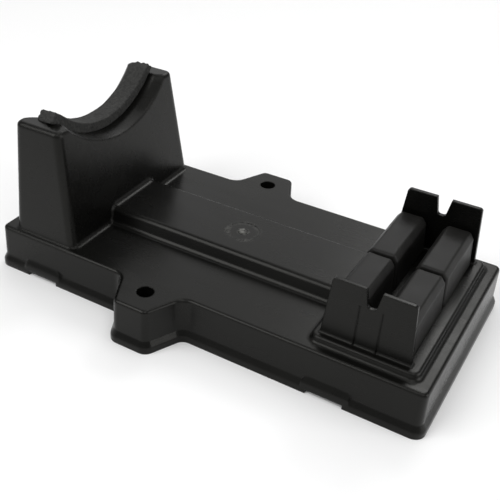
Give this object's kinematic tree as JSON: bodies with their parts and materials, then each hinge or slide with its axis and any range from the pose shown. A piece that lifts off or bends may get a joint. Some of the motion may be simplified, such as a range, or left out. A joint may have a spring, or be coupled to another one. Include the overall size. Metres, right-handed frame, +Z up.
{
  "type": "pump motor mounting base",
  "caption": "Black moulded mounting base: a hollow tray with a padded saddle tower for a motor's barrel, slotted clamp ears, rubber rest pads and side bolt tabs.",
  "frame": {"origin": "middle of the footprint, on the surface the base stands on", "axes": "+X along the base from the saddle tower to the pads, +Y across it, +Z up"},
  "size_m": [0.3482, 0.2274, 0.1315],
  "materials": {
    "moulding": "satin black moulded plastic",
    "foam_rubber": "matte cut cellular rubber",
    "pad_rubber": "satin moulded rubber"
  },
  "bodies": {
    "root": {"base_moulding": "moulding", "saddle_strip": "foam_rubber", "pad_inner_front": "pad_rubber", "pad_inner_back": "pad_rubber", "pad_outer_front": "pad_rubber", "pad_outer_back": "pad_rubber"}
  },
  "joints": []
}
